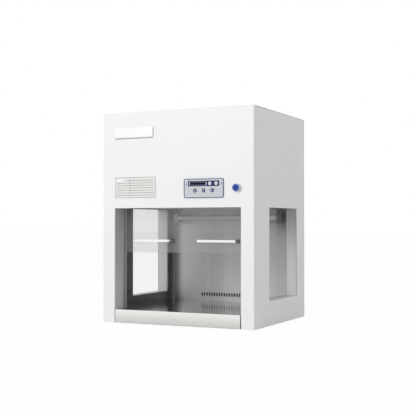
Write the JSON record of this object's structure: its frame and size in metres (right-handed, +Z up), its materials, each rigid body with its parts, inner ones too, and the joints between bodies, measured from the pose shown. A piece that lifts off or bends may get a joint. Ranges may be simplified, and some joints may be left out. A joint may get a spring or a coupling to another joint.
{
  "type": "laminar flow hood",
  "caption": "Compact bench-top vertical laminar flow cabinet with sliding glass sash, side windows, steel worktop, filter, blower, UV lamp and control panel.",
  "frame": {"origin": "on the bench under the middle of the whole hood", "axes": "+Z up, -Y towards the user, +X to the user's right"},
  "size_m": [0.5, 0.431, 0.639],
  "materials": {
    "painted_steel": "fine white powder coat",
    "galvanised_steel": "galvanised sheet",
    "stainless": "bright brushed stainless steel",
    "diffuser_sheet": "white slotted sheet",
    "window_glass": "clear toughened glass",
    "sash_glass": "clear toughened glass",
    "seal_rubber": "black rubber",
    "foot_rubber": "black rubber",
    "guide_aluminium": "grey anodised",
    "grip_white": "white coated bar",
    "filter_aluminium": "moulded filter case",
    "filter_paper": "pleated glass-fibre paper",
    "filter_wool": "white synthetic wool",
    "fan_aluminium": "spun and pressed sheet",
    "motor_black": "black coated can",
    "lamp_glass": "clear quartz tube with metal caps",
    "lamp_plastic": "white moulding",
    "socket_grey": "grey moulded lamp holder",
    "panel_face": "silver film with a blue-grey rim",
    "lens_navy": "navy film",
    "display_black": "dark display",
    "key_navy": "navy key",
    "key_white": "white key",
    "board_green": "green circuit board",
    "bezel_chrome": "chromed bezel",
    "button_blue": "blue moulded button",
    "black_plastic": "black moulding",
    "plate_white": "white raised plate",
    "label_grey": "pale grey film",
    "box_metal": "grey cased electronics, mostly air inside"
  },
  "bodies": {
    "cabinet": {"back_panel": "painted_steel", "base_pan": "galvanised_steel", "button_nut": "bezel_chrome", "ceiling_frame": "galvanised_steel", "contact_module": "black_plastic", "control_board": "board_green", "control_panel": "panel_face", "diffuser": "diffuser_sheet", "display_lens": "lens_navy", "display_module": "display_black", "fan_deck": "galvanised_steel", "fan_motor": "motor_black", "filter_clamps": "galvanised_steel", "filter_frame": "filter_aluminium", "filter_gasket": "seal_rubber", "filter_pleats": "filter_paper", "front_panel": "painted_steel", "inlet_nozzle": "fan_aluminium", "inner_wall_left": "stainless", "inner_wall_right": "stainless", "intake_duct": "galvanised_steel", "light_strip": "lamp_plastic", "mains_inlet": "black_plastic", "motor_bracket": "galvanised_steel", "nameplate": "plate_white", "plenum": "galvanised_steel", "power_button_bezel": "bezel_chrome", "power_supply": "box_metal", "prefilter": "filter_wool", "rating_plate": "label_grey", "rear_liner": "stainless", "rubber_feet": "foot_rubber", "sash_guide_left": "guide_aluminium", "sash_guide_right": "guide_aluminium", "side_panel_left": "painted_steel", "side_panel_right": "painted_steel", "top_cover": "painted_steel", "uv_ballast": "box_metal", "uv_socket_left": "socket_grey", "uv_socket_right": "socket_grey", "uv_tube": "lamp_glass", "window_gasket_left": "seal_rubber", "window_gasket_right": "seal_rubber", "window_pane_left": "window_glass", "window_pane_right": "window_glass", "worktop": "stainless", "worktop_rail_left": "galvanised_steel", "worktop_rail_right": "galvanised_steel"},
    "sash": {"sash_glass": "sash_glass", "sash_grip_left": "grip_white", "sash_grip_right": "grip_white", "sash_stops": "seal_rubber"},
    "blower_wheel": {"impeller": "fan_aluminium"},
    "start_button": {"power_button": "button_blue"},
    "fan_key": {"key_fan": "key_navy"},
    "light_key": {"key_light": "key_navy"},
    "uv_key": {"key_uv": "key_navy"},
    "down_key": {"key_down": "key_white"},
    "up_key": {"key_up": "key_white"}
  },
  "joints": [
    {"name": "sash_slide", "type": "slide", "parent": "cabinet", "child": "sash", "axis": [0, 0, 1], "range_m": [-0.1715, 0.092]},
    {"name": "blower_spin", "type": "hinge", "parent": "cabinet", "child": "blower_wheel", "pos_m": [0, 0.0375, 0.52], "axis": [0, 0, 1], "continuous": true},
    {"name": "start_button_press", "type": "slide", "parent": "cabinet", "child": "start_button", "axis": [0, 1, 0], "range_m": [0, 0.003], "stiffness_N_per_m": 600, "springref_m": -0.002},
    {"name": "fan_key_press", "type": "slide", "parent": "cabinet", "child": "fan_key", "axis": [0, 1, 0], "range_m": [0, 0.0008], "stiffness_N_per_m": 800, "springref_m": -0.0005},
    {"name": "light_key_press", "type": "slide", "parent": "cabinet", "child": "light_key", "axis": [0, 1, 0], "range_m": [0, 0.0008], "stiffness_N_per_m": 800, "springref_m": -0.0005},
    {"name": "uv_key_press", "type": "slide", "parent": "cabinet", "child": "uv_key", "axis": [0, 1, 0], "range_m": [0, 0.0008], "stiffness_N_per_m": 800, "springref_m": -0.0005},
    {"name": "down_key_press", "type": "slide", "parent": "cabinet", "child": "down_key", "axis": [0, 1, 0], "range_m": [0, 0.0008], "stiffness_N_per_m": 800, "springref_m": -0.0005},
    {"name": "up_key_press", "type": "slide", "parent": "cabinet", "child": "up_key", "axis": [0, 1, 0], "range_m": [0, 0.0008], "stiffness_N_per_m": 800, "springref_m": -0.0005}
  ]
}
